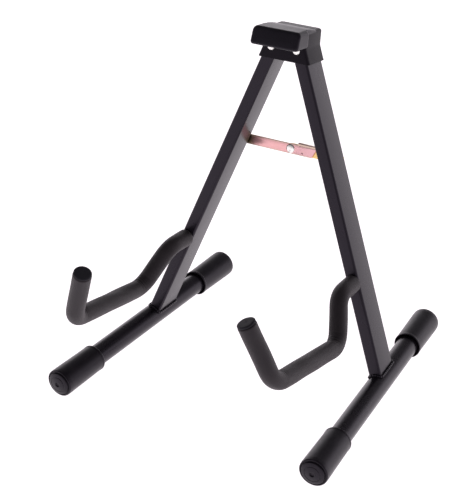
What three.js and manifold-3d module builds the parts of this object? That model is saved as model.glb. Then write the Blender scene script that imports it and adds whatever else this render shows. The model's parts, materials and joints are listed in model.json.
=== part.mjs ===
// A folding A-frame floor stand for an acoustic guitar.
//
// Millimetres, +Z up, -Y is the side that the guitar goes in. Two flat-sided legs hang from pivot bolts in a
// moulded head, and a folding spreader of two flat links holds them apart. Each leg stands on a round foot
// tube with rubber caps, and carries a bent support arm in a foam sleeve. The guitar's body sits on the two
// arms and leans back on the rubber pad at the head.
//
// The legs swing in one plane, the "A plane", which leans back. Its group has +X to the right, +Z up along
// the plane and -Y as the plane's front. The two pivot bolts and all three spreader rivets run along its Y.

import * as THREE from "three";
import { mergeVertices } from "three/addons/utils/BufferGeometryUtils.js";
import Module from "manifold-3d";

// ---------------------------------------------------------------- driving dimensions

const GAP = 0.3; // between pieces that touch

const LEAN = THREE.MathUtils.degToRad(8.4); // the A plane, back from upright
const SPREAD = THREE.MathUtils.degToRad(20.75); // each leg, outwards in the A plane
const PIVOT_X = 15.7; // half the distance between the pivot bolts
const PIVOT_RISE = 363.5; // pivot bolts above the foot tubes' axes, along the A plane

const LEG_WIDTH = 15.5;
const LEG_DEPTH = 35.5;
const LEG_WALL = 1.5;
const LEG_CORNER = 3;
const LEG_ABOVE_PIVOT = 10;
const WELD = 2;

const FOOT_R = 12.7;
const FOOT_WALL = 1.5;
const FOOT_FRONT = 191; // tube's end in front of the leg
const FOOT_REAR = 137.5;

const CAP_R = 16.9;
const CAP_LENGTH = 65;
const CAP_END = 5; // thickness of the closed end
const CAP_DOME = 3;
const CAP_MOUTH_R = 14.9; // the bore is wider at its mouth
const CAP_MOUTH_DEPTH = 4;
const ROUND = 32; // facets of a foot tube or cap; one of them faces the floor

const ARM_R = 6;
const ARM_WALL = 1.5;
const ARM_BEND = 24; // centreline radius of each bend
const FOAM_R = 10.5;
// Corners of the arm's centreline: [forward of the leg's axis, above the foot tube's axis along the leg].
const ARM_CORNERS = [
  [-13.5, 123.4],
  [53.8, 118.8],
  [82.5, 70.1],
  [223.1, 80.1],
  [245.7, 154.6],
];
const PLUG_HEAD = 2.5;
const PLUG_STEM = 14;

const HEAD_HALF = 26; // half the head's outside width above its skirt
const HEAD_WALL = 1.5;
const HEAD_TOP = 21.2; // top, kink and hem of the head, above the pivots
const HEAD_KINK = 3;
const HEAD_HEM = -13.5;
const SKIRT_HALF = 32.2;
const HEAD_FRONT = LEG_DEPTH / 2 + GAP + HEAD_WALL; // half the head's outside depth

const PAD_HALF = 29.4;
const PAD_SCREW_X = 12;
const PAD_SCREW_RISE = 16; // above the pivots

const LINK_RISE = 240.1; // the spreader, above the foot tubes' axes along the A plane
const LINK_HEIGHT = 12;
const LINK_THICK = 2;
const LINK_TIP_R = 4.4; // the right link narrows to a small round end behind its leg
const LINK_TAPER = 10; // over this length
const RIVET_R = 2.5;
const RIVET_HEAD_R = 5.3;
const TAIL_TOP = 33.5; // the left link runs on past the centre rivet to here, with a slanted end
const TAIL_BOTTOM = 27.5;
const LIP_START = 9.5; // its lip lies over the right link's top edge from here to the tail's end

// ---------------------------------------------------------------- worked out from them

const LEG_LENGTH = PIVOT_RISE / Math.cos(SPREAD); // pivot to the foot tube's axis
const FOOT_X = PIVOT_X + LEG_LENGTH * Math.sin(SPREAD);
const FOOT_AXIS_Z = CAP_R * Math.cos(Math.PI / ROUND); // the caps' lowest facets lie on the floor
const TOE_OUT = Math.atan(Math.sin(LEAN) * Math.tan(SPREAD)); // a level foot square to its leg's side faces
const FOOT_DIP = Math.atan(Math.tan(LEAN) / Math.cos(SPREAD)); // foot's angle in its leg's own side view
const LINK_X = PIVOT_X + (PIVOT_RISE - LINK_RISE) * Math.tan(SPREAD); // link rivets in the legs
const LINK_DROP = (PIVOT_RISE - LINK_RISE) / Math.cos(SPREAD); // the same rivets, down the leg from its pivot

// Depths behind the A plane's middle, back through the spreader.
const LEFT_LINK_Y = LEG_DEPTH / 2 + 0.4;
const RIGHT_LINK_Y = LEFT_LINK_Y + LINK_THICK + GAP;
const RIGHT_LINK_BACK = RIGHT_LINK_Y + LINK_THICK;

const wasm = await Module();
wasm.setup();

// ---------------------------------------------------------------- solids

function toSolid(geometry) {
  const bare = geometry.index ? geometry.toNonIndexed() : geometry.clone();
  bare.deleteAttribute("normal");
  bare.deleteAttribute("uv");
  const merged = mergeVertices(bare, 1e-3);
  return new wasm.Manifold(
    new wasm.Mesh({
      numProp: 3,
      vertProperties: merged.attributes.position.array,
      triVerts: new Uint32Array(merged.index.array),
    }),
  );
}

function toGeometry(solid) {
  const mesh = solid.getMesh();
  const geometry = new THREE.BufferGeometry();
  geometry.setAttribute("position", new THREE.BufferAttribute(mesh.vertProperties, 3));
  geometry.setIndex(new THREE.BufferAttribute(mesh.triVerts, 1));
  geometry.computeVertexNormals();
  return geometry;
}

function cut(geometry, ...tools) {
  return toGeometry(tools.reduce((solid, tool) => solid.subtract(toSolid(tool)), toSolid(geometry)));
}

function join(...geometries) {
  return toGeometry(geometries.map(toSolid).reduce((a, b) => a.add(b)));
}

/** A solid of revolution about Y. The profile is [radius, y] pairs, going round anticlockwise. */
function turned(profile, segments = ROUND, phase = Math.PI / ROUND) {
  const points = profile.map(([r, y]) => new THREE.Vector2(r, y));
  return new THREE.LatheGeometry(points, segments, phase);
}

/** A ring about Y, from y0 to y1. */
function ring(inner, outer, y0, y1, segments = 24) {
  return turned([[inner, y0], [outer, y0], [outer, y1], [inner, y1], [inner, y0]], segments, 0);
}

/** A solid cylinder along Y, from y0 to y1. */
function rod(radius, y0, y1, segments = 20) {
  return turned([[0, y0], [radius, y0], [radius, y1], [0, y1]], segments, 0);
}

function roundedRectangle(width, height, radius, path = new THREE.Shape()) {
  const x = width / 2 - radius;
  const y = height / 2 - radius;
  path.absarc(x, -y, radius, -Math.PI / 2, 0);
  path.absarc(x, y, radius, 0, Math.PI / 2);
  path.absarc(-x, y, radius, Math.PI / 2, Math.PI);
  path.absarc(-x, -y, radius, Math.PI, 1.5 * Math.PI);
  path.closePath();
  return path;
}

/** An outline of x and z, pushed along Y from y0 to y1. */
function plate(shape, y0, y1, curveSegments = 10) {
  const geometry = new THREE.ExtrudeGeometry(shape, { depth: y1 - y0, bevelEnabled: false, curveSegments });
  return geometry.rotateX(Math.PI / 2).translate(0, y1, 0);
}

// ---------------------------------------------------------------- the bent arm's centreline

/** A flat path of straight runs through the corners, with an arc of one radius at each inner corner. */
function bentPath(corners, radius) {
  const path = new THREE.Path();
  const bends = [];
  path.moveTo(...corners[0]);
  for (let i = 1; i < corners.length - 1; i++) {
    const corner = new THREE.Vector2(...corners[i]);
    const before = corner.clone().sub(new THREE.Vector2(...corners[i - 1])).normalize();
    const after = new THREE.Vector2(...corners[i + 1]).sub(corner).normalize();
    const turn = Math.sign(before.cross(after));
    const reach = radius * Math.tan(Math.acos(before.dot(after)) / 2);
    const start = corner.clone().addScaledVector(before, -reach);
    const centre = start.clone().add(new THREE.Vector2(-before.y, before.x).multiplyScalar(turn * radius));
    const from = before.angle() - (turn * Math.PI) / 2;
    const to = after.angle() - (turn * Math.PI) / 2;
    path.lineTo(start.x, start.y);
    const bendStart = path.getLength();
    path.absarc(centre.x, centre.y, radius, from, to, turn < 0);
    path.updateArcLengths();
    bends.push([bendStart, path.getLength()]);
  }
  path.lineTo(...corners.at(-1));
  path.updateArcLengths();
  return { path, bends };
}

const arm = bentPath(ARM_CORNERS, ARM_BEND);
const ARM_LENGTH = arm.path.getLength();
const FOAM_START = LEG_DEPTH / 2 + 1.2 - ARM_CORNERS[0][0]; // along the arm, where it clears the leg
const FOAM_END = ARM_LENGTH - PLUG_HEAD - GAP;

/** The arm's centreline between two lengths along it, in its leg's group, with steps only round the bends. */
class ArmStretch extends THREE.Curve {
  constructor(from, to) {
    super();
    const steps = [0, 1, 2, 3, 4, 5, 6];
    const inBends = arm.bends.flatMap(([start, end]) => steps.map((i) => start + ((end - start) * i) / 6));
    this.stations = [from, ...inBends.filter((length) => length > from + 1 && length < to - 1), to];
  }
  getPoint(t) {
    const from = this.stations[0];
    const length = from + (this.stations.at(-1) - from) * t;
    const { x, y } = arm.path.getPoint(length / ARM_LENGTH);
    return new THREE.Vector3(0, -x, y - LEG_LENGTH);
  }
  getUtoTmapping(u) {
    const from = this.stations[0];
    const station = this.stations[Math.round(u * (this.stations.length - 1))];
    return (station - from) / (this.stations.at(-1) - from);
  }
}

/** A round tube along a stretch of the arm's centreline. */
function armTube(outer, inner, from, to, sides) {
  const section = new THREE.Shape().absarc(0, 0, outer, 0, 2 * Math.PI);
  section.holes.push(new THREE.Path().absarc(0, 0, inner, 0, 2 * Math.PI, true));
  const extrudePath = new ArmStretch(from, to);
  const steps = extrudePath.stations.length - 1;
  return new THREE.ExtrudeGeometry(section, { steps, curveSegments: sides, extrudePath });
}

// ---------------------------------------------------------------- finishes

const finish = (color, roughness, metalness) => new THREE.MeshStandardMaterial({ color, roughness, metalness });
const powderCoat = finish(0x1d1c20, 0.45, 0.0);
const capRubber = finish(0x222125, 0.6, 0.0);
const padRubber = finish(0x17161a, 0.7, 0.0);
const foam = finish(0x2f2c2d, 0.95, 0.0);
const headPlastic = finish(0x201f23, 0.5, 0.0);
const plugPlastic = finish(0x1b1b1d, 0.5, 0.0);
const passivatedZinc = finish(0xd9a3a0, 0.35, 1.0);
const brightSteel = finish(0xd8d8d6, 0.25, 1.0);

function piece(name, geometry, material, parent) {
  const mesh = new THREE.Mesh(geometry, material);
  mesh.name = name;
  parent.add(mesh);
  return mesh;
}

// ---------------------------------------------------------------- legs

/** A flat-sided tube with rounded edges, holes for its fasteners, and a saddle cut that fits the foot tube. */
function legTube() {
  const section = roundedRectangle(LEG_WIDTH, LEG_DEPTH, LEG_CORNER);
  section.holes.push(
    roundedRectangle(LEG_WIDTH - 2 * LEG_WALL, LEG_DEPTH - 2 * LEG_WALL, LEG_CORNER - LEG_WALL, new THREE.Path()),
  );
  const blank = new THREE.ExtrudeGeometry(section, {
    depth: LEG_LENGTH + LEG_ABOVE_PIVOT,
    bevelEnabled: false,
    curveSegments: 4,
  }).translate(0, 0, -LEG_LENGTH);
  const saddle = rod(FOOT_R + GAP, -60, 60, ROUND).rotateX(FOOT_DIP).translate(0, 0, -LEG_LENGTH);
  const boltHole = rod(3.3, -30, 30);
  const rivetHole = rod(RIVET_R + GAP, 5, 30).translate(0, 0, -LINK_DROP);
  const armSlope = Math.atan2(ARM_CORNERS[0][1] - ARM_CORNERS[1][1], ARM_CORNERS[1][0] - ARM_CORNERS[0][0]);
  const armHole = rod(ARM_R + GAP, -30, 0, 24)
    .rotateX(armSlope)
    .translate(0, 0, ARM_CORNERS[0][1] + ARM_CORNERS[0][0] * Math.tan(armSlope) - LEG_LENGTH);
  return cut(blank, saddle, boltHole, rivetHole, armHole);
}

/** The weld bead round the foot of a leg, where its saddle cut meets the foot tube. */
function weldBead() {
  const collar = roundedRectangle(LEG_WIDTH + 2 * WELD, LEG_DEPTH + 2 * WELD, LEG_CORNER + WELD);
  const inside = roundedRectangle(LEG_WIDTH + 2 * GAP, LEG_DEPTH + 2 * GAP, LEG_CORNER + GAP, new THREE.Path());
  collar.holes.push(inside);
  const band = new THREE.ExtrudeGeometry(collar, { depth: 20, bevelEnabled: false, curveSegments: 4 });
  band.translate(0, 0, 3 - LEG_LENGTH);
  const shell = ring(FOOT_R + GAP, FOOT_R + GAP + WELD, -60, 60, ROUND);
  shell.rotateX(FOOT_DIP).translate(0, 0, -LEG_LENGTH);
  return toGeometry(toSolid(band).intersect(toSolid(shell)));
}

/** A round cap along -Y from its mouth at y 0, with a domed end and a wider mouth. */
function footCap() {
  const end = -CAP_LENGTH;
  return turned([
    [0, end - CAP_DOME],
    [7, end - CAP_DOME + 0.5],
    [CAP_R - 3, end - 0.9],
    [CAP_R - 0.6, end + 1.2],
    [CAP_R, end + 3],
    [CAP_R, -1],
    [CAP_R - 0.8, 0],
    [CAP_MOUTH_R, 0],
    [CAP_MOUTH_R, -CAP_MOUTH_DEPTH],
    [FOOT_R + GAP, -CAP_MOUTH_DEPTH - 1],
    [FOOT_R + GAP, end + CAP_END - GAP],
    [0, end + CAP_END - GAP],
  ]);
}

/** A foot tube with a cap on each end, level and along the group's Y. */
function foot(side, group) {
  const tube = ring(FOOT_R - FOOT_WALL, FOOT_R, -FOOT_FRONT, FOOT_REAR, ROUND);
  tube.rotateY(Math.PI / ROUND);
  piece(`${side}_foot_tube`, tube, powderCoat, group);
  const front = piece(`${side}_front_cap`, footCap(), capRubber, group);
  front.position.y = CAP_LENGTH - CAP_END - FOOT_FRONT;
  const rear = piece(`${side}_rear_cap`, footCap(), capRubber, group);
  rear.position.y = FOOT_REAR - CAP_LENGTH + CAP_END;
  rear.rotation.z = Math.PI;
}

/** The bent tube that carries the guitar, its foam sleeve, and the plug in its tip. */
function supportArm(side, group) {
  const tube = armTube(ARM_R, ARM_R - ARM_WALL, 0, FOAM_END, 8);
  piece(`${side}_support_arm`, tube, powderCoat, group);
  const sleeve = armTube(FOAM_R, ARM_R + GAP, FOAM_START, FOAM_END, 8);
  piece(`${side}_foam_sleeve`, sleeve, foam, group);
  const stemR = ARM_R - ARM_WALL - GAP;
  const plug = turned(
    [
      [0, -PLUG_HEAD - PLUG_STEM],
      [stemR, -PLUG_HEAD - PLUG_STEM],
      [stemR, -PLUG_HEAD],
      [FOAM_R - 0.4, -PLUG_HEAD],
      [FOAM_R - 0.2, -1],
      [FOAM_R - 1.4, -0.2],
      [0, 0],
    ],
    20,
    0,
  );
  const mesh = piece(`${side}_arm_plug`, plug, plugPlastic, group);
  const tip = new ArmStretch(FOAM_END, ARM_LENGTH);
  mesh.position.copy(tip.getPoint(1));
  mesh.quaternion.setFromUnitVectors(new THREE.Vector3(0, 1, 0), tip.getTangent(1));
}

/** One leg, hung from its pivot at the group's origin, with its arm. Its bushing keeps the bolt off the walls. */
function leg(side, group) {
  piece(`${side}_leg_tube`, legTube(), powderCoat, group);
  piece(`${side}_weld_bead`, weldBead(), powderCoat, group);
  const half = LEG_DEPTH / 2 - LEG_WALL - GAP;
  piece(`${side}_pivot_bushing`, ring(3.3, 4.8, -half, half), brightSteel, group);
  supportArm(side, group);
}

// ---------------------------------------------------------------- head

/** The head's outline from the front, about the pivots' level: square above, with a skirt that follows the legs. */
function headOutline(inset, hem) {
  const slope = (SKIRT_HALF - HEAD_HALF) / (HEAD_KINK - HEAD_HEM);
  const side = HEAD_HALF - inset;
  const low = side + slope * (HEAD_KINK - hem);
  const corners = [[-low, hem], [low, hem], [side, HEAD_KINK], [side, HEAD_TOP - inset], [-side, HEAD_TOP - inset]];
  corners.push([-side, HEAD_KINK]);
  return new THREE.Shape(corners.map(([x, z]) => new THREE.Vector2(x, z)));
}

/** A moulded shell, open below, that both legs hang in. */
function headHousing() {
  const outside = plate(headOutline(0, HEAD_HEM), -HEAD_FRONT, HEAD_FRONT);
  const inside = plate(headOutline(HEAD_WALL, HEAD_HEM - 5), HEAD_WALL - HEAD_FRONT, HEAD_FRONT - HEAD_WALL);
  const holes = [-1, 1].map((sign) => rod(3.3, -30, 30).translate(sign * PIVOT_X, 0, 0));
  const screwHoles = [-1, 1].map((sign) =>
    rod(1.8, -30, -10, 16).translate(sign * PAD_SCREW_X, 0, PAD_SCREW_RISE),
  );
  return cut(outside, inside, ...holes, ...screwHoles);
}

/** The pad's side view, pushed across X: a thick block with a leaning front face. */
function padSlice(half, corners) {
  const shape = new THREE.Shape(corners.map(([forward, up]) => new THREE.Vector2(forward, up)));
  return new THREE.ExtrudeGeometry(shape, { depth: 2 * half, bevelEnabled: false })
    .rotateX(Math.PI / 2)
    .rotateZ(-Math.PI / 2)
    .translate(half, 0, 0);
}

/** The rubber pad that the guitar leans on: a block on the head's front, with a lip over its top. */
function restPad() {
  const back = HEAD_FRONT + GAP;
  const block = padSlice(PAD_HALF, [
    [back, 4.9],
    [44.6, 5.6],
    [46, 7],
    [41.2, 23.3],
    [39.6, 24.8],
    [back - 2, 25],
    [back - 2, HEAD_TOP + GAP],
    [back, HEAD_TOP + GAP],
  ]);
  const lip = padSlice(HEAD_HALF - 0.6, [
    [back + 2, HEAD_TOP + GAP],
    [back + 2, 25],
    [17, 25],
    [9, 24],
    [1, 22.4],
    [-4, HEAD_TOP + GAP],
  ]);
  const screwHoles = [-1, 1].map((sign) =>
    rod(1.8, -back - 10, -back + 1, 16).translate(sign * PAD_SCREW_X, 0, PAD_SCREW_RISE),
  );
  return cut(join(block, lip), ...screwHoles);
}

/** A dome-headed bolt along Y, its head in front and its end behind the nut. */
function pivotBolt() {
  const seat = -HEAD_FRONT - GAP;
  return turned(
    [
      [0, seat - 3.4],
      [2.3, seat - 2.9],
      [3.8, seat - 1.5],
      [4.4, seat],
      [3, seat],
      [3, HEAD_FRONT + 8.2],
      [0, HEAD_FRONT + 8.2],
    ],
    24,
    0,
  );
}

/** A hexagon nut with a round locking collar behind it. */
function lockNut(y0) {
  const hexagon = new THREE.CylinderGeometry(5.77, 5.77, 4.2, 6).translate(0, y0 + 2.1, 0);
  const collar = new THREE.CylinderGeometry(4.4, 4.4, 2, 18).translate(0, y0 + 5, 0);
  return cut(join(hexagon, collar), rod(3.3, y0 - 5, y0 + 10));
}

/** A pan-head screw along Y, put in from inside the head and pointing forwards into the pad. */
function padScrew() {
  const seat = -HEAD_FRONT + HEAD_WALL + GAP;
  return turned(
    [
      [0, seat - 10],
      [1.5, seat - 9],
      [1.5, seat],
      [3.2, seat],
      [3, seat + 1.6],
      [0, seat + 2.1],
    ],
    16,
    0,
  );
}

function head(group) {
  piece("head_housing", headHousing(), headPlastic, group);
  piece("rest_pad", restPad(), padRubber, group);
  for (const [side, sign] of [["left", -1], ["right", 1]]) {
    const parts = {
      pivot_bolt: pivotBolt(),
      pivot_washer: ring(3.3, 6.2, HEAD_FRONT + GAP, HEAD_FRONT + GAP + 1.1),
      pivot_nut: lockNut(HEAD_FRONT + 2 * GAP + 1.1),
    };
    for (const [name, geometry] of Object.entries(parts)) {
      piece(`${side}_${name}`, geometry, brightSteel, group).position.x = sign * PIVOT_X;
    }
    const screw = piece(`${side}_pad_screw`, padScrew(), brightSteel, group);
    screw.position.set(sign * PAD_SCREW_X, 0, PAD_SCREW_RISE);
  }
}

// ---------------------------------------------------------------- spreader

/** A link's outline from the front. It ends in a slanted tail, or narrows to a small round on its last rivet. */
function linkOutline(x0, x1, tail) {
  const r = LINK_HEIGHT / 2;
  const shape = new THREE.Shape();
  shape.absarc(x0, 0, r, Math.PI / 2, 1.5 * Math.PI);
  if (tail) {
    shape.lineTo(TAIL_BOTTOM, -r);
    shape.lineTo(TAIL_TOP, r);
  } else {
    const turn = Math.atan2(-r, -LINK_TAPER) + Math.acos(LINK_TIP_R / Math.hypot(r, LINK_TAPER));
    shape.lineTo(x1 - LINK_TAPER, -r);
    shape.absarc(x1, 0, LINK_TIP_R, turn, -turn);
    shape.lineTo(x1 - LINK_TAPER, r);
  }
  for (const x of [x0, x1]) {
    shape.holes.push(new THREE.Path().absarc(x, 0, RIVET_R + GAP, 0, 2 * Math.PI, true));
  }
  return shape;
}

/** The front link, with a tail past the centre rivet whose lip folds back over the other link's top edge. */
function leftLink() {
  const bar = plate(linkOutline(-LINK_X, 0, true), LEFT_LINK_Y, LEFT_LINK_Y + LINK_THICK);
  const top = LINK_HEIGHT / 2;
  const length = TAIL_TOP - LIP_START;
  const middle = (TAIL_TOP + LIP_START) / 2;
  const lip = new THREE.BoxGeometry(length, RIGHT_LINK_BACK - LEFT_LINK_Y, LINK_THICK);
  lip.translate(middle, (RIGHT_LINK_BACK + LEFT_LINK_Y) / 2, top + GAP + LINK_THICK / 2);
  const web = new THREE.BoxGeometry(length, LINK_THICK, LINK_THICK);
  web.translate(middle, LEFT_LINK_Y + LINK_THICK / 2, top);
  return join(bar, web, lip);
}

function rightLink() {
  return plate(linkOutline(0, LINK_X, false), RIGHT_LINK_Y, RIGHT_LINK_BACK);
}

/** A rivet along Y: a domed head that starts at domeY, and a shank that runs to endY with a flat upset end. */
function rivet(domeY, dome, endY, upset) {
  const out = Math.sign(domeY - endY);
  const profile = [
    [0, domeY + out * dome.height],
    [dome.radius * 0.55, domeY + out * dome.height * 0.82],
    [dome.radius * 0.88, domeY + out * dome.height * 0.42],
    [dome.radius, domeY],
    [RIVET_R, domeY],
    [RIVET_R, endY],
    [upset.radius, endY],
    [upset.radius, endY - out * upset.height],
    [0, endY - out * upset.height],
  ];
  return turned(out > 0 ? profile.reverse() : profile, 24, 0);
}

function spreader(group) {
  piece("left_link", leftLink(), passivatedZinc, group);
  piece("right_link", rightLink(), passivatedZinc, group);
  const legInside = LEG_DEPTH / 2 - LEG_WALL - GAP;
  const dome = { radius: RIVET_HEAD_R, height: 2.3 };
  const lowDome = { radius: 4, height: 1.6 };
  const rivets = {
    left_link_rivet: [-LINK_X, rivet(LEFT_LINK_Y + LINK_THICK + GAP, dome, legInside, { radius: 3.8, height: 3 })],
    center_rivet: [0, rivet(LEFT_LINK_Y - GAP, dome, RIGHT_LINK_BACK + GAP, { radius: 4, height: 1.4 })],
    // This one stops short of the leg: it stays with the link, and the leg slides clear of it as they fold.
    right_link_rivet: [
      LINK_X,
      rivet(RIGHT_LINK_BACK + GAP, lowDome, LEG_DEPTH / 2 + 0.8, { radius: 2.4, height: 0.4 }),
    ],
    right_link_spacer: [LINK_X, ring(RIVET_R + GAP, 5.5, LEG_DEPTH / 2 + GAP, RIGHT_LINK_Y - GAP)],
  };
  for (const [name, [x, geometry]] of Object.entries(rivets)) {
    piece(name, geometry, brightSteel, group).position.x = x;
  }
}

// ---------------------------------------------------------------- the stand

const stand = new THREE.Group();

const aPlane = new THREE.Group();
aPlane.position.z = FOOT_AXIS_Z;
aPlane.rotation.x = -LEAN;
stand.add(aPlane);

for (const [side, sign] of [["left", -1], ["right", 1]]) {
  const legGroup = new THREE.Group();
  legGroup.position.set(sign * PIVOT_X, 0, PIVOT_RISE);
  legGroup.rotation.y = -sign * SPREAD;
  aPlane.add(legGroup);
  leg(side, legGroup);

  const footGroup = new THREE.Group();
  footGroup.position.set(sign * FOOT_X, 0, FOOT_AXIS_Z);
  footGroup.rotation.z = sign * TOE_OUT;
  stand.add(footGroup);
  foot(side, footGroup);
}

const headGroup = new THREE.Group();
headGroup.position.z = PIVOT_RISE;
aPlane.add(headGroup);
head(headGroup);

const spreaderGroup = new THREE.Group();
spreaderGroup.position.z = LINK_RISE;
aPlane.add(spreaderGroup);
spreader(spreaderGroup);

// The part's origin is on the floor, at the middle of the stand's outline seen from above.
const part = new THREE.Group();
part.add(stand);
const outline = new THREE.Box3().setFromObject(stand, true);
stand.position.y = -(outline.min.y + outline.max.y) / 2;

export default part;
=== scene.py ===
import json
import math

import bpy
import numpy as np
from mathutils import Matrix


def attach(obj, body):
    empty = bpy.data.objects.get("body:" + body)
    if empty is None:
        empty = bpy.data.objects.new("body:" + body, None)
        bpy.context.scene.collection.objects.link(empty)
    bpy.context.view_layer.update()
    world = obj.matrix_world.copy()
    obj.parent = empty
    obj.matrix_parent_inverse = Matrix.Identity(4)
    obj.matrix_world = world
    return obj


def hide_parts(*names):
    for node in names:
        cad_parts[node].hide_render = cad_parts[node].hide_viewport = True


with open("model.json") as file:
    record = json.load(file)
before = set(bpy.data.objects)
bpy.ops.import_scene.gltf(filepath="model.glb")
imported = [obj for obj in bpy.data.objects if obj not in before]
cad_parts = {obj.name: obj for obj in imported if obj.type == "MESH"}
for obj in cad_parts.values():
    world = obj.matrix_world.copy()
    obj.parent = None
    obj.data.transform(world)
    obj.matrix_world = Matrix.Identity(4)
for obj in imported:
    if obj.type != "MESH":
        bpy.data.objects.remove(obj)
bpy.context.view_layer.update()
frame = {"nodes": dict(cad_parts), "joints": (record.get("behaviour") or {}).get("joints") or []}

SIDES = {"left": -1, "right": 1}
FULL_TURN = 2 * math.pi
WELD_SEEDS = {"left": 4, "right": 9}
FOAM_SEEDS = {"left": 21, "right": 34}

# ---------------------------------------------------------------- dimensions, in millimetres

LEG_LENGTH = 388.71  # pivot to the foot tube's axis
LEG_WIDTH, LEG_DEPTH, LEG_WALL, LEG_CORNER = 15.5, 35.5, 1.5, 2.7
LEG_TOP = 10.0  # above the pivot

FOOT_RADIUS, FOOT_WALL = 12.7, 1.5
FOOT_FRONT, FOOT_REAR = 191.0, 137.5
CAP_RADIUS, CAP_LENGTH, CAP_END = 16.8, 65.0, 5.0
BEAD_RADIUS, BEAD_OUT = 1.45, 0.9  # the weld's, and its distance from the leg

FOAM_RADIUS, FOAM_BORE = 10.45, 6.3
ARM_BEND = 24.0
ARM_CORNERS = [(-13.5, 123.4), (53.8, 118.8), (82.5, 70.1), (223.1, 80.1), (245.7, 154.6)]
PLUG_HEAD = 2.5
CREASE_GAP = 5.5  # from one pucker of the foam to the next

HEAD_HALF, HEAD_DEPTH, HEAD_WALL, HEAD_EDGE = 26.0, 19.55, 1.5, 2.6
HEAD_TOP, HEAD_KINK, HEAD_HEM, SKIRT_HALF = 21.2, 3.0, -13.5, 32.2
PAD_HALF, PAD_HALF_UP, PAD_MIDDLE = 29.4, 10.0, 15.0
PAD_FACE, PAD_LEAN = 43.55, 0.2945  # the face's distance in front of the head's middle, and its slope

NUT_HALF = 5.0  # half the width across its flats

LINK_HEIGHT, LINK_THICK, LINK_FRONT = 12.0, 2.0, 18.15
LINK_BEHIND = LINK_FRONT + LINK_THICK + 0.3
TAIL_TOP, TAIL_BOTTOM, LIP_START = 33.5, 27.5, 9.5
LINK_TIP, LINK_TAPER, PLATE_EDGE = 4.4, 10.0, 0.35
RIVET_RADIUS, RIVET_HEAD = 2.5, 5.3

# ---------------------------------------------------------------- places


class Place:
    """A local frame in the row frame: millimetres along its own X (right), Y (back) and Z (up)."""

    def __init__(self, origin, back, up):
        self.origin = np.array(origin, float)
        self.axes = np.array([np.cross(back, up), back, up], float)

    def row(self, points):
        return self.origin + np.asarray(points) @ self.axes / 1000

    def moved(self, x=0.0, y=0.0, z=0.0):
        return Place(self.row([x, y, z]), self.axes[1], self.axes[2])


def unit(vector):
    return vector / np.linalg.norm(vector)


joint = {j["name"]: j for j in frame["joints"]}
pivot = {side: np.array(joint[side + "_leg_fold"]["pos_m"]) for side in SIDES}
back = -unit(np.array(joint["left_leg_fold"]["axis"]))
center_rivet = np.array(joint["right_link_fold"]["pos_m"])
left_rivet = np.array(joint["left_link_fold"]["pos_m"])
plane_up = unit(np.cross([1.0, 0, 0], back))
head = Place((pivot["left"] + pivot["right"]) / 2, back, plane_up)
links = Place(center_rivet, back, plane_up)
LINK_REACH = abs(left_rivet[0]) * 1000
PIVOT_X = abs(pivot["left"][0]) * 1000

legs, feet = {}, {}
for side, sign in SIDES.items():
    up_leg = unit(pivot["left"] - left_rivet) * [-sign, 1, 1]
    legs[side] = Place(pivot[side], back, up_leg)
    level = unit(back - up_leg * back[2] / up_leg[2])
    feet[side] = Place(pivot[side] - up_leg * LEG_LENGTH / 1000, level, np.array([0.0, 0, 1]))

# ---------------------------------------------------------------- lines and rings


def fillet(corners, radii, closed=False, steps=5):
    """A flat line through corners with each inner corner replaced by an arc. The arc's centre lies on the
    corner's bisector, radius / cos(half the turn) from the corner, and its points are evenly spaced in angle."""
    points = np.array(corners, float)
    radii = np.broadcast_to(radii, len(points))
    out = []
    for i, corner in enumerate(points):
        if radii[i] <= 0 or (not closed and i in (0, len(points) - 1)):
            out.append(corner[None])
            continue
        arriving = unit(corner - points[i - 1])
        leaving = unit(points[(i + 1) % len(points)] - corner)
        turn = math.acos(np.clip(arriving @ leaving, -1, 1))
        centre = corner + unit(leaving - arriving) * radii[i] / math.cos(turn / 2)
        start = corner - arriving * radii[i] * math.tan(turn / 2) - centre
        side_of = np.sign(arriving[0] * leaving[1] - arriving[1] * leaving[0])
        angle = math.atan2(start[1], start[0]) + side_of * turn * np.linspace(0, 1, steps + 1)
        out.append(centre + radii[i] * np.stack([np.cos(angle), np.sin(angle)], 1))
    return np.concatenate(out)


def spaced(line, gap):
    """The same flat line with extra points, so that no two are further apart than gap."""
    length = np.linalg.norm(np.diff(line, axis=0), axis=1)
    along = np.concatenate([[0], np.cumsum(length)])
    extra = [np.linspace(a, b, max(2, math.ceil((b - a) / gap) + 1))[:-1] for a, b in zip(along, along[1:])]
    at = np.append(np.concatenate(extra), along[-1])
    return np.stack([np.interp(at, along, line[:, k]) for k in (0, 1)], 1)


def rounded_box(half_x, half_y, radius, steps=6):
    """A rectangle centred on the origin, going round anticlockwise, with arcs for corners."""
    corners = [(half_x, -half_y), (half_x, half_y), (-half_x, half_y), (-half_x, -half_y)]
    return fillet(corners, radius, closed=True, steps=steps)


def inset(outline, amount):
    """A closed outline moved inwards: each point goes against the normal of the chord across its neighbours."""
    chord = np.roll(outline, -1, 0) - np.roll(outline, 1, 0)
    normal = np.stack([chord[:, 1], -chord[:, 0]], 1)
    return outline - amount * normal / np.linalg.norm(normal, axis=1, keepdims=True)


def waves(a, b, seed, count=7):
    """Gentle unevenness between about -1 and 1: a mean of sines of both inputs with seeded turns and phases."""
    draw = np.random.default_rng(seed)
    turns = draw.integers(1, 6, count)
    pitch = draw.uniform(0.4, 3.2, count)
    phase = draw.uniform(0, FULL_TURN, count)
    total = sum(np.sin(t * a + p * b + f) for t, p, f in zip(turns, pitch, phase))
    return total / math.sqrt(count)


# ---------------------------------------------------------------- skins


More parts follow.
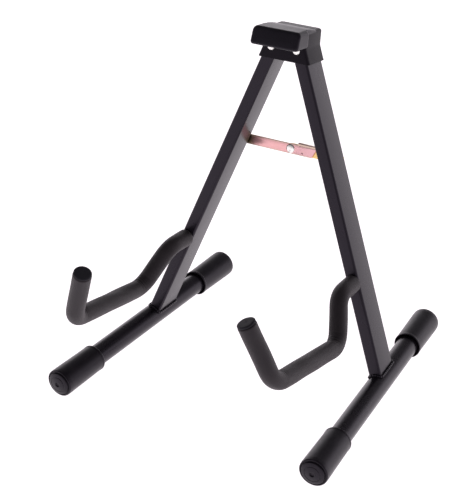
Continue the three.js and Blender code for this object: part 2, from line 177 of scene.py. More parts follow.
def skin(rings, closed=False):
    """A closed skin over rings of points, an array of stations by points round each by three. Quads join each
    ring to the next. The last ring joins the first, or each end closes in a fan to the mean of its ring.
    If the enclosed volume, the sum of triple products over six, comes out negative, the faces are turned."""
    rings = np.asarray(rings, float)
    stations, around, _ = rings.shape
    points = rings.reshape(-1, 3)
    index = np.arange(stations * around).reshape(stations, around)
    if closed:
        index = np.vstack([index, index[:1]])
    beside = np.roll(index, -1, 1)
    quads = np.stack([index[:-1], beside[:-1], beside[1:], index[1:]], -1).reshape(-1, 4)
    fans = np.zeros((0, 3), int)
    if not closed:
        points = np.vstack([points, rings[0].mean(0), rings[-1].mean(0)])
        first, last = len(points) - 2, len(points) - 1
        low = np.stack([beside[0], index[0], np.full(around, first)], 1)
        high = np.stack([index[-1], beside[-1], np.full(around, last)], 1)
        fans = np.vstack([low, high])
    triangles = np.vstack([quads[:, :3], quads[:, [0, 2, 3]], fans])
    corner = points[triangles] - points.mean(0)
    if np.einsum("ij,ij->i", corner[:, 0], np.cross(corner[:, 1], corner[:, 2])).sum() < 0:
        quads, fans = quads[:, ::-1], fans[:, ::-1]
    return points, quads, fans


def turned(profile, around=64, closed=False):
    """A surface turned about Y: each (radius, y) of the profile becomes a ring of points at even angles."""
    radius, y = np.asarray(profile, float).T
    angle = np.linspace(0, FULL_TURN, around, endpoint=False)
    rings = np.stack(np.broadcast_arrays(
        radius[:, None] * np.cos(angle), y[:, None], radius[:, None] * np.sin(angle)), -1)
    return skin(rings, closed)


def pressed(outline, y0, y1, edge):
    """A flat plate of an outline in X and Z, from y0 to y1, whose two rims are quarter rounds of radius edge."""
    bow = np.linspace(0, math.pi / 2, 4)
    depth = np.concatenate([(y0 + edge * (1 - np.cos(bow))), (y1 - edge * (1 - np.cos(bow)))[::-1]])
    amount = np.concatenate([edge * (1 - np.sin(bow)), (edge * (1 - np.sin(bow)))[::-1]])
    flat = np.stack([inset(outline, a) for a in amount])
    return skin(np.stack([flat[..., 0], np.broadcast_to(depth[:, None], flat.shape[:2]), flat[..., 1]], -1))


def drawn(section, xs, insets):
    """A bar along X: an outline in Y and Z carried through the stations xs, moved inwards at each by insets."""
    flat = np.stack([inset(section, a) for a in insets])
    x = np.broadcast_to(np.asarray(xs, float)[:, None], flat.shape[:2])
    return skin(np.stack([x, flat[..., 0], flat[..., 1]], -1))


finishes = {}


def piece(node, place, skins, slot, body, crease=40.0):
    """One object from its skins, at the origin with its place in its mesh, standing for the CAD node. Edges that
    turn by more than crease degrees stay sharp."""
    points, faces, start = [], [], 0
    for vertices, quads, fans in skins:
        points.append(place.row(vertices))
        faces += (quads + start).tolist() + (fans + start).tolist()
        start += len(vertices)
    mesh = bpy.data.meshes.new(node + "_finished")
    mesh.from_pydata(np.concatenate(points).tolist(), [], faces)
    mesh.polygons.foreach_set("use_smooth", np.ones(len(faces), bool))
    mesh.set_sharp_from_angle(angle=math.radians(crease))
    mesh.materials.append(finishes[slot])
    mesh.update()
    made = bpy.data.objects.new(node + "_finished", mesh)
    bpy.context.scene.collection.objects.link(made)
    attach(made, body)
    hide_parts(node)
    return made


# ---------------------------------------------------------------- finishes


class Number:
    """A socket that carries a number. Arithmetic on it adds Math nodes."""

    def __init__(self, nodes, socket):
        self.nodes, self.socket = nodes, socket

    def _math(self, operation, *values):
        return self.nodes.node("ShaderNodeMath", {"operation": operation}, dict(enumerate(values)))

    def __add__(self, other):
        return self._math("ADD", self, other)

    def __sub__(self, other):
        return self._math("SUBTRACT", self, other)

    def __rsub__(self, other):
        return self._math("SUBTRACT", other, self)

    def __mul__(self, other):
        return self._math("MULTIPLY", self, other)

    def size(self):
        return self._math("ABSOLUTE", self)

    def between(self, low, high):
        """0 below low, 1 above high, and a smooth step in between."""
        settings = {"interpolation_type": "SMOOTHSTEP"}
        values = {"Value": self, "From Min": low, "From Max": high}
        return self.nodes.node("ShaderNodeMapRange", settings, values)

    __radd__ = __add__
    __rmul__ = __mul__


class Nodes:
    """A node tree under construction."""

    def __init__(self, tree):
        self.tree = tree

    def put(self, socket, value):
        if isinstance(value, Number):
            self.tree.links.new(value.socket, socket)
        elif isinstance(value, tuple) and len(value) == 3 and socket.type == "RGBA":
            socket.default_value = (*value, 1.0)
        else:
            socket.default_value = value

    def node(self, kind, settings=None, values=None, out=0):
        made = self.tree.nodes.new(kind)
        for name, value in (settings or {}).items():
            setattr(made, name, value)
        for name, value in (values or {}).items():
            self.put(made.inputs[name], value)
        return Number(self, made.outputs[out])

    def mix(self, amount, first, second):
        made = self.tree.nodes.new("ShaderNodeMix")
        made.data_type = "RGBA"
        for socket, value in zip((made.inputs[0], made.inputs[6], made.inputs[7]), (amount, first, second)):
            self.put(socket, value)
        return Number(self, made.outputs[2])


class Finish(Nodes):
    """A material under construction. Values that are the same all over are set on the shader's own sockets."""

    def __init__(self, slot, **even):
        self.material = bpy.data.materials.new(slot)
        self.material.use_nodes = True
        super().__init__(self.material.node_tree)
        self.shader = self.tree.nodes["Principled BSDF"]
        for name, value in even.items():
            self.put(self.shader.inputs[name.replace("_", " ").title().replace("Ior", "IOR")], value)
        finishes[slot] = self.material

    def place(self, scale=(1.0, 1.0, 1.0), turn=(0.0, 0.0, 0.0)):
        at = self.node("ShaderNodeTexCoord", out="Object")
        return self.node("ShaderNodeMapping", None, {"Vector": at, "Rotation": turn, "Scale": scale})

    def along(self, place, axis):
        """Millimetres along one axis of a place: the dot product of the point and the axis, less the origin's."""
        direction = place.axes[axis]
        values = {0: self.node("ShaderNodeTexCoord", out="Object"), 1: tuple(direction)}
        dot = self.node("ShaderNodeVectorMath", {"operation": "DOT_PRODUCT"}, values, "Value")
        return (dot - float(place.origin @ direction)) * 1000.0

    def noise(self, scale, detail=3.0, rough=0.5, stretch=(1.0, 1.0, 1.0), turn=(0.0, 0.0, 0.0)):
        values = {"Vector": self.place(stretch, turn), "Scale": scale, "Detail": detail, "Roughness": rough}
        return self.node("ShaderNodeTexNoise", None, values, "Fac")

    def cells(self, scale, feature="F1"):
        values = {"Vector": self.place(), "Scale": scale}
        return self.node("ShaderNodeTexVoronoi", {"feature": feature}, values, "Distance")

    def wear(self, colour=None, roughness=None, height=None, depth=0.0001, strength=1.0):
        """Connects what changes over the surface: colour, roughness, and a bump of that depth in metres."""
        if colour is not None:
            self.put(self.shader.inputs["Base Color"], colour)
        if roughness is not None:
            self.put(self.shader.inputs["Roughness"], roughness)
        if height is not None:
            values = {"Height": height, "Distance": depth, "Strength": strength}
            self.put(self.shader.inputs["Normal"], self.node("ShaderNodeBump", None, values, "Normal"))


def powder_coat():
    """Black paint baked on steel: orange peel, a violet cast that comes and goes, and faint rubbed specks."""
    finish = Finish("powder_coat", ior=1.75, specular_tint=(0.24, 0.215, 0.265))
    broad = finish.noise(22, 4, 0.6)
    peel = finish.noise(1100, 2, 0.5)
    specks = finish.noise(420, 5, 0.75).between(0.66, 0.74)
    rubbed = finish.noise(60, 6, 0.7, (1.0, 1.0, 0.25)).between(0.6, 0.78)
    paint = finish.mix(broad, (0.0065, 0.0052, 0.008), (0.011, 0.009, 0.013))
    paint = finish.mix(specks * 0.3 + rubbed * 0.14, paint, (0.045, 0.04, 0.047))
    finish.wear(paint, 0.22 + broad * 0.12 + specks * 0.12, peel + specks * 0.5, 0.00006, 0.5)


def cap_rubber():
    """Moulded rubber: satin, dusty in patches, with a fine tooth from the mould."""
    finish = Finish("cap_rubber", ior=1.5, specular_tint=(0.42, 0.38, 0.46))
    dust = finish.noise(38, 6, 0.65).between(0.45, 0.75)
    tooth = finish.noise(1800, 2, 0.5)
    scuff = finish.noise(160, 5, 0.7, (1.0, 0.2, 1.0)).between(0.62, 0.72)
    rubber = finish.mix(dust, (0.007, 0.006, 0.0085), (0.015, 0.013, 0.016))
    rubber = finish.mix(scuff * 0.35, rubber, (0.045, 0.04, 0.045))
    finish.wear(rubber, 0.34 + dust * 0.14 + scuff * 0.12, tooth + scuff * 0.6, 0.00007, 0.5)


def pad_rubber():
    """Soft rubber of the rest pad: darker, with a leathery grain and polished high spots."""
    finish = Finish("pad_rubber", ior=1.5, specular_tint=(0.4, 0.36, 0.44))
    broad = finish.noise(45, 5, 0.6)
    grain = finish.cells(900)
    rubber = finish.mix(broad, (0.005, 0.0045, 0.0065), (0.01, 0.009, 0.012))
    finish.wear(rubber, 0.3 + broad * 0.14, grain + broad, 0.00007, 0.5)


def foam():
    """Closed-cell foam: a dull skin pitted with small cells, a faint bloom and a mottled charcoal colour, with
    painted shade darkening the pits.
    """
    finish = Finish("foam", ior=1.5, specular_tint=(0.36, 0.33, 0.37), sheen_weight=0.1, sheen_roughness=0.5,
                    sheen_tint=(0.9, 0.84, 0.88))
    mottle = finish.noise(55, 5, 0.65)
    cells = finish.cells(1500)
    pits_and_pit_shade = finish.noise(900, 4, 0.7).between(0.55, 0.75)
    charcoal = finish.mix(mottle, (0.015, 0.013, 0.0145), (0.029, 0.025, 0.0265))
    # Painted shade: the charcoal is darkened in the pits that the bump sinks.
    charcoal = finish.mix(pits_and_pit_shade * 0.5, charcoal, (0.008, 0.007, 0.008))
    finish.wear(charcoal, 0.5 + mottle * 0.14, cells - pits_and_pit_shade * 0.8, 0.0002, 0.6)


def head_plastic():
    """Moulded nylon with a fine spark-eroded texture and a slightly greyed bloom."""
    finish = Finish("head_plastic", ior=1.3, specular_tint=(0.3, 0.26, 0.31))
    bloom = finish.noise(40, 4, 0.6)
    spark = finish.noise(1500, 3, 0.6)
    nylon = finish.mix(bloom, (0.007, 0.006, 0.0085), (0.013, 0.011, 0.015))
    finish.wear(nylon, 0.34 + bloom * 0.12, spark, 0.00007, 0.5)


def plug_plastic():
    """Moulded plastic of the arms' plugs: near black, a little duller than the foot caps."""
    finish = Finish("plug_plastic", ior=1.45, specular_tint=(0.35, 0.32, 0.38))
    bloom = finish.noise(120, 4, 0.6)
    spark = finish.noise(1600, 3, 0.6)
    nylon = finish.mix(bloom, (0.015, 0.0145, 0.018), (0.024, 0.023, 0.028))
    finish.wear(nylon, 0.5 + bloom * 0.15, spark, 0.00008, 0.6)


def passivated_zinc():
    """Passivated zinc: a passivation layer whose thickness drifts along the spreader. It is rose along the
    plates, duller past the middle and tan along the strip's edges. Painted light is mixed in: a painted
    reflection of the dark leg makes it olive by the left leg, painted shade darkens the top of the lip, and a
    painted reflection turns the half behind gold."""
    finish = Finish("passivated_zinc", metallic=1.0)
    drift = finish.noise(45, 3, 0.55, (1.0, 1.0, 2.2))
    cloud = finish.noise(140, 4, 0.6, (0.5, 1.0, 1.0))
    streak = finish.noise(900, 2, 0.5, (0.05, 1.0, 1.0))
    x = finish.along(links, 0) + (drift - 0.5) * 16
    height = finish.along(links, 2)
    from_middle = height.size() + (cloud - 0.5) * 1.6
    behind = finish.along(links, 1).between(LINK_FRONT + LINK_THICK + 0.1, LINK_FRONT + LINK_THICK + 0.2)
    # Painted reflection: olive by the left leg stands for the dark leg reflected in the plate; rose from there
    # on.
    zinc_and_painted_light = finish.mix(x.between(-56, -44), (0.28, 0.21, 0.11), (0.82, 0.46, 0.46))
    zinc_and_painted_light = finish.mix(x.between(-4, 14) * 0.5, zinc_and_painted_light, (0.55, 0.35, 0.39))
    zinc_and_painted_light = finish.mix(cloud.between(0.6, 0.78) * 0.35, zinc_and_painted_light, (0.85, 0.5, 0.4))
    zinc_and_painted_light = finish.mix(from_middle.between(4.3, 5.6) * 0.7, zinc_and_painted_light, (0.6, 0.5, 0.37))
    # Painted reflection: all that lies behind the front plate is turned gold, standing for the reflections the
    # right link's end catches behind the right leg.
    zinc_and_painted_light = finish.mix(behind, zinc_and_painted_light, (0.86, 0.6, 0.24))
    # Painted shade: a dark band along the rounded top of the lip, in place of the dark its bend reflects.
    zinc_and_painted_light = finish.mix(height.between(7.9, 8.1) * 0.7, zinc_and_painted_light, (0.16, 0.11, 0.13))
    zinc_and_painted_light = finish.mix(streak.between(0.58, 0.8) * 0.2, zinc_and_painted_light, (0.55, 0.4, 0.38))
    finish.wear(zinc_and_painted_light, 0.24 + cloud * 0.12, streak + cloud * 0.6, 0.00004, 0.4)


def bright_steel():
    """Bright zinc plate: clean metal, a little cloudy, with tiny pits."""
    finish = Finish("bright_steel", metallic=1.0)
    cloud = finish.noise(300, 4, 0.6)
    pits = finish.noise(2200, 2, 0.6).between(0.6, 0.75)
    plate = finish.mix(cloud, (0.8, 0.8, 0.77), (0.92, 0.91, 0.88))
    finish.wear(plate, 0.2 + cloud * 0.12 + pits * 0.2, cloud - pits, 0.00003, 0.4)


for make_finish in (powder_coat, cap_rubber, pad_rubber, foam, head_plastic, plug_plastic, passivated_zinc,
                    bright_steel):
    make_finish()

# ---------------------------------------------------------------- legs


def saddle_height(leg, foot, x, y, radius):
    """Height in the leg's frame of a round bar along the foot, over the point x, y: the bar's half chord at x,
    the square root of radius squared less x squared, measured square to the bar's slope."""
    run, rise = foot.axes[1] @ leg.axes[1], foot.axes[1] @ leg.axes[2]
    chord = np.sqrt(np.maximum(radius**2 - x**2, 0))
    return (chord + y * rise) / run - LEG_LENGTH


def leg_tube(side):
    """A rounded oblong ring carried up the leg, outside and back down inside, with its lower end on the foot."""
    leg, foot = legs[side], feet[side]
    outer = rounded_box(LEG_WIDTH / 2, LEG_DEPTH / 2, LEG_CORNER, 8)
    inner = rounded_box(LEG_WIDTH / 2 - LEG_WALL, LEG_DEPTH / 2 - LEG_WALL, LEG_CORNER - LEG_WALL, 8)
    heights = np.linspace(-LEG_LENGTH + 30, LEG_TOP - 0.5, 24)
    rings = []
    for ring, way in ((outer, heights), (inner, heights[::-1])):
        floor = saddle_height(leg, foot, ring[:, 0], ring[:, 1], FOOT_RADIUS + 0.15)
        stack = [np.column_stack([ring, np.full(len(ring), z)]) for z in way]
        low = [np.column_stack([ring, floor])]
        rings += low + stack if ring is outer else stack + low
    lip = np.column_stack([inset(outer, 0.5), np.full(len(outer), LEG_TOP)])
    rings.insert(len(heights) + 1, lip)
    piece(f"{side}_leg_tube", leg, [skin(rings, closed=True)], "powder_coat", f"{side}_leg", 30)


def weld_bead(side):
    """A rippled bead carried round the leg's foot: a circle whose radius swells at each puddle of weld."""
    leg, foot = legs[side], feet[side]
    line = rounded_box(LEG_WIDTH / 2 + BEAD_OUT, LEG_DEPTH / 2 + BEAD_OUT, LEG_CORNER + BEAD_OUT, 14)
    line = spaced(np.vstack([line, line[:1]]), 0.6)[:-1]
    normal = inset(line, -1.0) - line
    height = saddle_height(leg, foot, line[:, 0], line[:, 1], FOOT_RADIUS + 0.3) + 0.5
    along = np.linspace(0, FULL_TURN, len(line), endpoint=False)
    puddles = np.sin(34 * along + 0.6 * np.sin(5 * along))
    radius = BEAD_RADIUS + 0.22 * puddles + 0.12 * waves(along * 3, 0, WELD_SEEDS[side])
    angle = np.linspace(0, FULL_TURN, 14, endpoint=False)
    out = radius[:, None] * np.cos(angle)
    flat = line[:, None] + normal[:, None] * out[..., None]
    rings = np.concatenate([flat, (height[:, None] + radius[:, None] * np.sin(angle))[..., None]], -1)
    piece(f"{side}_weld_bead", leg, [skin(rings, closed=True)], "powder_coat", f"{side}_leg")


def foot_tube(side):
    """An open tube with eased rims, turned about its own axis."""
    wall = [(FOOT_RADIUS, -FOOT_FRONT), (FOOT_RADIUS, FOOT_REAR), (FOOT_RADIUS - FOOT_WALL, FOOT_REAR),
            (FOOT_RADIUS - FOOT_WALL, -FOOT_FRONT)]
    outer = spaced(fillet(wall, 0.4, closed=True, steps=3), 8)
    piece(f"{side}_foot_tube", feet[side], [turned(outer, 72, closed=True)], "powder_coat", f"{side}_leg")


def foot_cap(side, end):
    """A rubber cap turned from its bore, over the lip of its mouth and along a side that swells a little, to a
    rounded rim, a deep groove, a low dome of rings and the pit where the rubber was let into the mould."""
    tip, r = CAP_LENGTH, CAP_RADIUS
    bore = FOOT_RADIUS + 0.2
    profile = [(0, tip - CAP_END, 0), (bore, tip - CAP_END, 0.6), (bore, 6, 0.6), (14.7, 4.2, 0.4),
               (15.0, 0.6, 0.3), (15.4, 0, 0.2), (r - 0.8, 0, 0.4), (r - 0.5, 0.6, 0.4), (r - 0.5, 2.6, 0.4),
               (r - 0.75, 3.1, 0.3), (r - 0.6, 16, 0), (r, tip - 6, 6), (r - 0.2, tip - 1.2, 1.4),
               (r - 1.8, tip + 0.1, 0.8), (r - 2.2, tip - 1.3, 0.3), (r - 3.1, tip - 1.3, 0.3),
               (r - 3.5, tip + 0.9, 0.5), (9.6, tip + 1.9, 0.3), (9.3, tip + 1.6, 0.2), (8.8, tip + 1.65, 0.2),
               (8.5, tip + 2.15, 0.3), (3.1, tip + 2.95, 0.6), (2.2, tip + 1.5, 0.3), (0, tip + 1.3, 0)]
    corners = [(radius, y) for radius, y, _ in profile]
    line = spaced(fillet(corners, [round_off for _, _, round_off in profile], steps=4), 4)
    if end == "front":
        line = np.stack([line[:, 0], CAP_LENGTH - CAP_END - FOOT_FRONT - line[:, 1]], 1)
    else:
        line = np.stack([line[:, 0], FOOT_REAR - CAP_LENGTH + CAP_END + line[:, 1]], 1)
    piece(f"{side}_{end}_cap", feet[side], [turned(line, 96)], "cap_rubber", f"{side}_leg", 50)


# ---------------------------------------------------------------- arms


arm_line = spaced(fillet(ARM_CORNERS, ARM_BEND, steps=24), 1.5)
arm_along = np.concatenate([[0], np.cumsum(np.linalg.norm(np.diff(arm_line, axis=0), axis=1))])
ARM_LENGTH = arm_along[-1]
FOAM_START = LEG_DEPTH / 2 + 0.3 - ARM_CORNERS[0][0]
FOAM_END = ARM_LENGTH - PLUG_HEAD - 0.25


def along_arm(lengths):
    """Points, directions and curvature of the arm's centreline, in its leg's frame, at lengths along it."""
    flat = np.stack([np.interp(lengths, arm_along, arm_line[:, k]) for k in (0, 1)], 1)
    slope = np.gradient(arm_line, arm_along, axis=0)
    slope = np.stack([np.interp(lengths, arm_along, slope[:, k]) for k in (0, 1)], 1)
    slope /= np.linalg.norm(slope, axis=1, keepdims=True)
    heading = np.unwrap(np.arctan2(slope[:, 1], slope[:, 0]))
    bend = np.gradient(heading, lengths)
    centre = np.column_stack([np.zeros(len(lengths)), -flat[:, 0], flat[:, 1] - LEG_LENGTH])
    ahead = np.column_stack([np.zeros(len(lengths)), -slope[:, 0], slope[:, 1]])
    return centre, ahead, bend


def foam_sleeve(side):
    """Foam pulled over the bent arm: a circle carried along the arm. It flattens by a few hundredths where the
    arm bends, puckers into shallow creases on the inside of each bend, and rounds over at both ends."""
    lengths = np.linspace(FOAM_START, FOAM_END, 420)
    centre, ahead, bend = along_arm(lengths)
    across = np.array([1.0, 0, 0])
    above = np.cross(across, ahead)
    angle = np.linspace(0, FULL_TURN, 80, endpoint=False)
    tight = np.convolve(bend * ARM_BEND, np.ones(9) / 9, "same")[:, None]
    inside = np.clip(-np.sin(angle) * tight, 0, 1)
    creases = 0.5 + 0.5 * np.cos(lengths[:, None] * FULL_TURN / CREASE_GAP + 0.9 * np.cos(3 * angle))
    lumps = waves(angle, lengths[:, None] / 22, FOAM_SEEDS[side])
    radius = FOAM_RADIUS - 0.13 + 0.13 * lumps - 0.5 * creases * inside**2
    radius = radius - 0.35 * np.abs(np.sin(angle)) * np.abs(tight) + 0.2 * np.abs(np.cos(angle) * tight)
    rim = np.minimum(lengths - FOAM_START, FOAM_END - lengths)[:, None]
    radius = np.minimum(radius, FOAM_RADIUS + 0.3) - 1.1 * np.clip(1 - rim / 1.5, 0, 1) ** 2
    outer = (centre[:, None] + radius[..., None] * np.cos(angle)[:, None] * across
             + (radius * np.sin(angle))[..., None] * above[:, None])
    bore = (centre[:, None] + FOAM_BORE * np.cos(angle)[:, None] * across
            + FOAM_BORE * np.sin(angle)[:, None] * above[:, None])[::-6]
    made = piece(f"{side}_foam_sleeve", legs[side], [skin(np.vstack([outer, bore]), closed=True)], "foam",
                 f"{side}_leg", 70)


def arm_plug(side):
    """The plug's dished disc and its stem, turned about the arm's own end."""
    centre, ahead, _ = along_arm(np.array([ARM_LENGTH - 0.5, ARM_LENGTH]))
    leg = legs[side]
    direction = ahead[-1] @ leg.axes
    sideways = leg.axes[0]
    tip = Place(leg.row(centre[-1]), direction, np.cross(sideways, direction))
    r = FOAM_RADIUS - 0.45
    profile = [(0, -16), (4.2, -16), (4.2, -2.4), (r - 0.5, -2.4), (r, -1.9), (r, -1.0), (r - 1.5, -0.1), (5, 0),
               (0, -0.05)]
    line = spaced(fillet(profile, [0, 0.6, 0.2, 0.3, 0.3, 0.6, 1.0, 2, 0], steps=4), 3)
    piece(f"{side}_arm_plug", tip, [turned(line, 64)], "plug_plastic", f"{side}_leg", 50)


# ---------------------------------------------------------------- head


def head_housing():
    """A rounded oblong ring carried down inside the shell, round its hem, and up outside to the rounded top."""
    slope = (SKIRT_HALF - HEAD_HALF) / (HEAD_KINK - HEAD_HEM)
    bow = np.linspace(0, math.pi / 2, 7)
    rows = []
    for z in (HEAD_TOP - HEAD_WALL, HEAD_TOP - HEAD_WALL, HEAD_KINK, HEAD_HEM + 0.3):
        flare = slope * max(HEAD_KINK - z, 0)
        rows.append((z, HEAD_HALF - HEAD_WALL + flare, HEAD_DEPTH - HEAD_WALL, 2.4))
    rows += [(HEAD_HEM, SKIRT_HALF - 1.1, HEAD_DEPTH - 1.1, 2.8),
             (HEAD_HEM, SKIRT_HALF - 0.35, HEAD_DEPTH - 0.35, 3.4),
             (HEAD_HEM + 0.35, SKIRT_HALF, HEAD_DEPTH, 3.7),
             (HEAD_HEM + 2.2, SKIRT_HALF - 0.8, HEAD_DEPTH, 3.7)]
    for z in np.linspace(HEAD_KINK - 1.6, HEAD_KINK + 1.6, 5):
        ease = max(HEAD_KINK + 1.6 - z, 0) ** 2 / 6.4
        rows.append((z, HEAD_HALF + slope * ease, HEAD_DEPTH, 3.7))
    for z, drawn_in in zip(HEAD_TOP - HEAD_EDGE * (1 - np.sin(bow)), HEAD_EDGE * (1 - np.cos(bow))):
        rows.append((z, HEAD_HALF - drawn_in, HEAD_DEPTH - drawn_in, 3.7 - 0.3 * drawn_in))
    rings = [np.column_stack([rounded_box(x, y, r, 8), np.full(36, z)]) for z, x, y, r in rows]
    piece("head_housing", head, [skin(rings)], "head_plastic", "head", 32)


def rest_pad():
    """A block carried forward from the head to a leaning front face. Each ring lies between the upright back
    plane and the leaning front plane, and the last rings draw in along a quarter round. A thin lap slopes back
    over the head's top. Towards its ends it drops by edge less the root of edge squared less the distance past
    the start of the head's own rounding squared, so that it follows that rounding."""
    back_at, edge = HEAD_DEPTH + 0.3, 3.0

    def block_ring(share, short, drawn_in):
        wide, high = PAD_HALF - drawn_in, PAD_HALF_UP - drawn_in
        radii = np.maximum(np.array([3.4, 5.6, 5.6, 3.4]) - 0.3 * drawn_in, 0.2)
        ring = fillet([(wide, -high), (wide, high), (-wide, high), (-wide, -high)], radii, closed=True, steps=8)
        face = PAD_FACE - PAD_LEAN * ring[:, 1]
        forward = back_at + (face - back_at) * share - short
        return np.column_stack([ring[:, 0], -forward, ring[:, 1] + PAD_MIDDLE])

    bow = np.linspace(0, math.pi / 2, 8)
    rings = [block_ring(0, 0, 0.8), block_ring(0, -0.4, 0.2), block_ring(0, -1, 0)]
    rings += [block_ring(share, 0, 0) for share in np.linspace(0.1, 0.82, 8)]
    rings += [block_ring(1, edge * (1 - math.sin(a)), edge * (1 - math.cos(a))) for a in bow]
    rings += [block_ring(1, -0.12, 5.5), block_ring(1, -0.2, 8)]
    top = HEAD_TOP + 0.12
    side_view = [(-24.5, top), (-24.5, 24.9), (-17, 24.9), (-8, 23.9), (0, 22.4), (4.4, top + 0.1), (4.6, top)]
    lap = fillet(side_view, [0.2, 0.5, 12, 20, 8, 0.2, 0.05], closed=True, steps=6)
    ends = np.concatenate([np.linspace(0, HEAD_EDGE - 0.1, 6), [HEAD_EDGE]])
    across = np.concatenate([[0], HEAD_HALF - HEAD_EDGE + ends])
    across = np.concatenate([-across[:0:-1], across[1:]])
    past = np.maximum(np.abs(across) - (HEAD_HALF - HEAD_EDGE), 0)
    drop = HEAD_EDGE - np.sqrt(HEAD_EDGE**2 - past**2 + 0.16) + 0.01
    eased = np.where(past > HEAD_EDGE - 0.05, 0.12, 0)
    flat = np.stack([inset(lap[::-1], -a) for a in eased])
    x = np.broadcast_to(across[:, None], flat.shape[:2])
    saddle = skin(np.stack([x, flat[..., 0], flat[..., 1] - drop[:, None]], -1))
    piece("rest_pad", head, [skin(rings), saddle], "pad_rubber", "head", 45)


def pivot_fasteners(side, sign):
    """A domed bolt head in front; a washer, a chamfered hexagon nut with a locking collar, and the bolt's end."""
    place = head.moved(x=sign * PIVOT_X)
    seat, end = -HEAD_DEPTH - 0.1, HEAD_DEPTH + 8.2
    dome = [(0, seat - 3.3), (1.8, seat - 3.1), (3.4, seat - 2.1), (4.3, seat - 0.8), (4.4, seat), (3, seat),
            (3, end - 0.2), (2.6, end), (0, end)]
    line = spaced(fillet(dome, [0, 1.6, 2, 1, 0.2, 0.1, 0.2, 0.2, 0], steps=5), 4)
    piece(f"{side}_pivot_bolt", place, [turned(line, 64)], "bright_steel", "head")
    y = HEAD_DEPTH + 0.1
    ring = fillet([(3.3, y), (6.2, y), (6.2, y + 1.2), (3.3, y + 1.2)], 0.25, closed=True, steps=3)
    piece(f"{side}_pivot_washer", place, [turned(ring, 56, closed=True)], "bright_steel", "head")
    y += 1.35
    angle = np.linspace(0, FULL_TURN, 72, endpoint=False)
    flats = NUT_HALF / np.cos((angle + math.pi / 6) % (math.pi / 3) - math.pi / 6)
    rows = [(3.2, y), (4.9, y), (5.35, y + 0.25), (5.8, y + 0.6), (5.8, y + 3.6), (5.35, y + 3.95),
            (4.9, y + 4.2), (4.4, y + 4.25), (4.4, y + 5.7), (4.0, y + 6.1), (3.4, y + 6.1), (3.2, y + 5.9)]
    radius = np.minimum(np.array([r for r, _ in rows])[:, None], flats)
    depth = np.broadcast_to(np.array([d for _, d in rows])[:, None], radius.shape)
    rings = np.stack([radius * np.cos(angle), depth, radius * np.sin(angle)], -1)
    piece(f"{side}_pivot_nut", place, [skin(rings, closed=True)], "bright_steel", "head", 28)


# ---------------------------------------------------------------- spreader


def strip(corners, radii):
    """A link's outline in X and Z, with points about a millimetre apart."""
    line = fillet(corners, radii, closed=True, steps=16)
    return spaced(np.vstack([line, line[:1]]), 1.2)[:-1]


def spreader():
    """Two pressed plates. The front one has a slanted tail, a lip drawn along its top edge, which folds back over
    the other plate, and a small moulded nub. The other narrows to a round end behind the right leg."""
    half = LINK_HEIGHT / 2
    left = -LINK_REACH - half
    outline = strip([(TAIL_BOTTOM, -half), (TAIL_TOP, half), (left, half), (left, -half)],
                    [0.9, 0.9, half - 0.01, half - 0.01])
    bar = pressed(outline, LINK_FRONT, LINK_FRONT + LINK_THICK, PLATE_EDGE)
    far = LINK_BEHIND + LINK_THICK
    fold = fillet([(LINK_FRONT, half - 1.5), (LINK_FRONT, half + 2.2), (far, half + 2.2), (far, half + 0.6),
                   (LINK_FRONT + LINK_THICK, half + 0.5), (LINK_FRONT + LINK_THICK, half - 1.5)],
                  [0.2, 0.8, 0.4, 0.4, 0.3, 0.2], closed=True, steps=6)
    lip = drawn(fold[::-1], [LIP_START, LIP_START + 0.4, TAIL_TOP - 0.4, TAIL_TOP], [-0.25, 0, 0, -0.25])
    swelling = [(0, LINK_FRONT - 0.7), (0.9, LINK_FRONT - 0.6), (1.6, LINK_FRONT + 0.3), (0, LINK_FRONT + 0.5)]
    points, quads, fans = turned(fillet(swelling, [0, 0.6, 0.2, 0], steps=4), 32)
    nub = (points + [15.0, 0, -3.3], quads, fans)
    piece("left_link", links, [bar, lip, nub], "passivated_zinc", "left_link", 35)
    tip, shoulder = LINK_REACH + LINK_TIP, LINK_REACH - LINK_TAPER
    outline = strip([(shoulder, -half), (tip, 0.5 - LINK_TIP), (tip, LINK_TIP - 0.5), (shoulder, half),
                     (-half, half), (-half, -half)], [9, 3.6, 3.6, 9, half - 0.01, half - 0.01])
    bar = pressed(outline, LINK_BEHIND, far, PLATE_EDGE)
    piece("right_link", links, [bar], "passivated_zinc", "right_link", 35)


def rivet(node, x, face, tail, body, head_out):
    """A riveted pin: a low dome with a faint ring from the tool, a shank, and a small upset end."""
    r = RIVET_HEAD
    rows = [(0, 1.55), (1.7, 1.5), (2.0, 1.42), (2.3, 1.47), (4.2, 1.15), (r - 0.1, 0.35), (r, 0),
            (RIVET_RADIUS, 0)]
    head_part = [(radius, face + head_out * height) for radius, height in rows]
    profile = head_part + [(RIVET_RADIUS, tail), (3.7, tail), (3.4, tail - head_out * 1.3),
                           (0, tail - head_out * 1.4)]
    line = spaced(fillet(profile, [0, 0.3, 0.2, 0.3, 1, 0.3, 0.1, 0.1, 0.1, 0.3, 0.4, 0], steps=4), 3)
    piece(node, links.moved(x=x), [turned(line, 56)], "bright_steel", body)


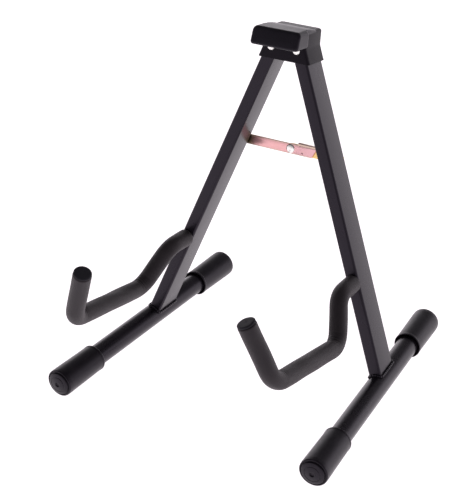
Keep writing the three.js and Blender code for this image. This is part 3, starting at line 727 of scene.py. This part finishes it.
def rivets():
    """Two domed rivets, and behind the right leg a low-headed pin on a spacer ring, all turned about Y."""
    far = LINK_BEHIND + LINK_THICK
    rivet("center_rivet", 0, LINK_FRONT - 0.05, far + 0.1, "left_link", -1)
    rivet("left_link_rivet", -LINK_REACH, LINK_FRONT + LINK_THICK + 0.1, LEG_DEPTH / 2 - 1.6, "left_leg", 1)
    pin = [(0, LEG_DEPTH / 2 + 0.4), (2.3, LEG_DEPTH / 2 + 0.4), (2.3, far + 0.1), (4, far + 0.1),
           (3.8, far + 0.5), (2.9, far + 1.2), (0, far + 1.5)]
    line = spaced(fillet(pin, [0, 0.2, 0.1, 0.1, 0.3, 1, 0], steps=4), 3)
    place = links.moved(x=LINK_REACH)
    piece("right_link_rivet", place, [turned(line, 56)], "bright_steel", "right_link")
    y0, y1 = LEG_DEPTH / 2 + 0.3, LINK_BEHIND - 0.2
    ring = fillet([(2.8, y0), (5.4, y0), (5.4, y1), (2.8, y1)], 0.25, closed=True, steps=3)
    piece("right_link_spacer", place, [turned(ring, 56, closed=True)], "bright_steel", "right_link")


# ---------------------------------------------------------------- the stand

for side, sign in SIDES.items():
    leg_tube(side)
    weld_bead(side)
    foot_tube(side)
    foot_cap(side, "front")
    foot_cap(side, "rear")
    foam_sleeve(side)
    arm_plug(side)
    pivot_fasteners(side, sign)
    for node, slot in (("support_arm", "powder_coat"), ("pivot_bushing", "bright_steel"),
                       ("pad_screw", "bright_steel")):
        kept = frame["nodes"][f"{side}_{node}"]
        kept.data.materials.clear()
        kept.data.materials.append(finishes[slot])
head_housing()
rest_pad()
spreader()
rivets()

# ---------------------------------------------------------------- floor, light and camera


def follow_feet(floor):
    """The head stays where it is as the legs fold, so the feet go down. The floor keeps the height of a mark on
    the left foot tube's axis at its front end, less the axis's height above the floor."""
    place = feet["left"]
    mark = bpy.data.objects.new("foot_mark", None)
    bpy.context.scene.collection.objects.link(mark)
    mark.location = place.row([0, -FOOT_FRONT, 0])
    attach(mark, "left_leg")
    floor.location.z = -mark.location.z
    level = floor.constraints.new("COPY_LOCATION")
    level.target = mark
    level.use_x, level.use_y, level.use_offset = False, False, True


def floor_and_light():
    """A self-lit white floor, like a light table, in a studio that is bright at the horizon and low down behind
    the stand, and dim overhead and in front. The sky's brightness is made of smooth steps of its direction."""
    reach = 40.0
    corners = [(-reach, -reach, 0), (reach, -reach, 0), (reach, reach, 0), (-reach, reach, 0)]
    mesh = bpy.data.meshes.new("floor")
    mesh.from_pydata(corners, [], [(0, 1, 2, 3)])
    floor = bpy.data.objects.new("floor", mesh)
    bpy.context.scene.collection.objects.link(floor)
    paper = Finish("floor", specular_ior_level=0.0, emission_color=(1.0, 0.94, 0.98), emission_strength=1.12)
    paper.wear(paper.mix(paper.noise(3, 3, 0.5), (0.78, 0.78, 0.78), (0.8, 0.8, 0.8)), 0.9)
    mesh.materials.append(finishes["floor"])
    follow_feet(floor)

    world = bpy.data.worlds.new("studio")
    bpy.context.scene.world = world
    world.use_nodes = True
    sky = Nodes(world.node_tree)
    toward = sky.node("ShaderNodeTexCoord", out="Generated")
    split = sky.node("ShaderNodeSeparateXYZ", None, {"Vector": toward}).socket.node
    height = Number(sky, split.outputs["Z"])
    low = 1 - height.between(0.2, 0.5)
    horizon = 1 - height.between(0.01, 0.06)
    behind = Number(sky, split.outputs["Y"]).between(-0.5, 0.4)
    background = world.node_tree.nodes["Background"]
    sky.put(background.inputs["Color"], (1.0, 0.95, 1.0))
    sky.put(background.inputs["Strength"], 0.2 + low * (0.26 + behind) + horizon * 0.7)


def camera():
    """The camera looks at a point between the legs from its azimuth and elevation, and is rolled a little."""
    azimuth, elevation, roll = math.radians(30.785), math.radians(28.69), math.radians(-0.455)
    aim, distance = np.array([-0.05351, 0.04412, 0.13408]), 1.61386
    away = np.array([math.sin(azimuth) * math.cos(elevation), -math.cos(azimuth) * math.cos(elevation),
                     math.sin(elevation)])
    right = np.array([math.cos(azimuth), math.sin(azimuth), 0])
    above = np.cross(away, right)
    turn = np.eye(4)
    turn[:3, 0] = math.cos(roll) * right + math.sin(roll) * above
    turn[:3, 1] = math.cos(roll) * above - math.sin(roll) * right
    turn[:3, 2] = away
    turn[:3, 3] = aim + distance * away
    lens = bpy.data.cameras.new("camera")
    lens.sensor_fit, lens.sensor_width, lens.lens = "AUTO", 36.0, 100.06
    lens.clip_start, lens.clip_end = 0.05, 200.0
    eye = bpy.data.objects.new("camera", lens)
    bpy.context.scene.collection.objects.link(eye)
    eye.matrix_world = Matrix(turn.tolist())
    bpy.context.scene.camera = eye


floor_and_light()
camera()
bpy.context.scene.view_settings.view_transform = "Standard"
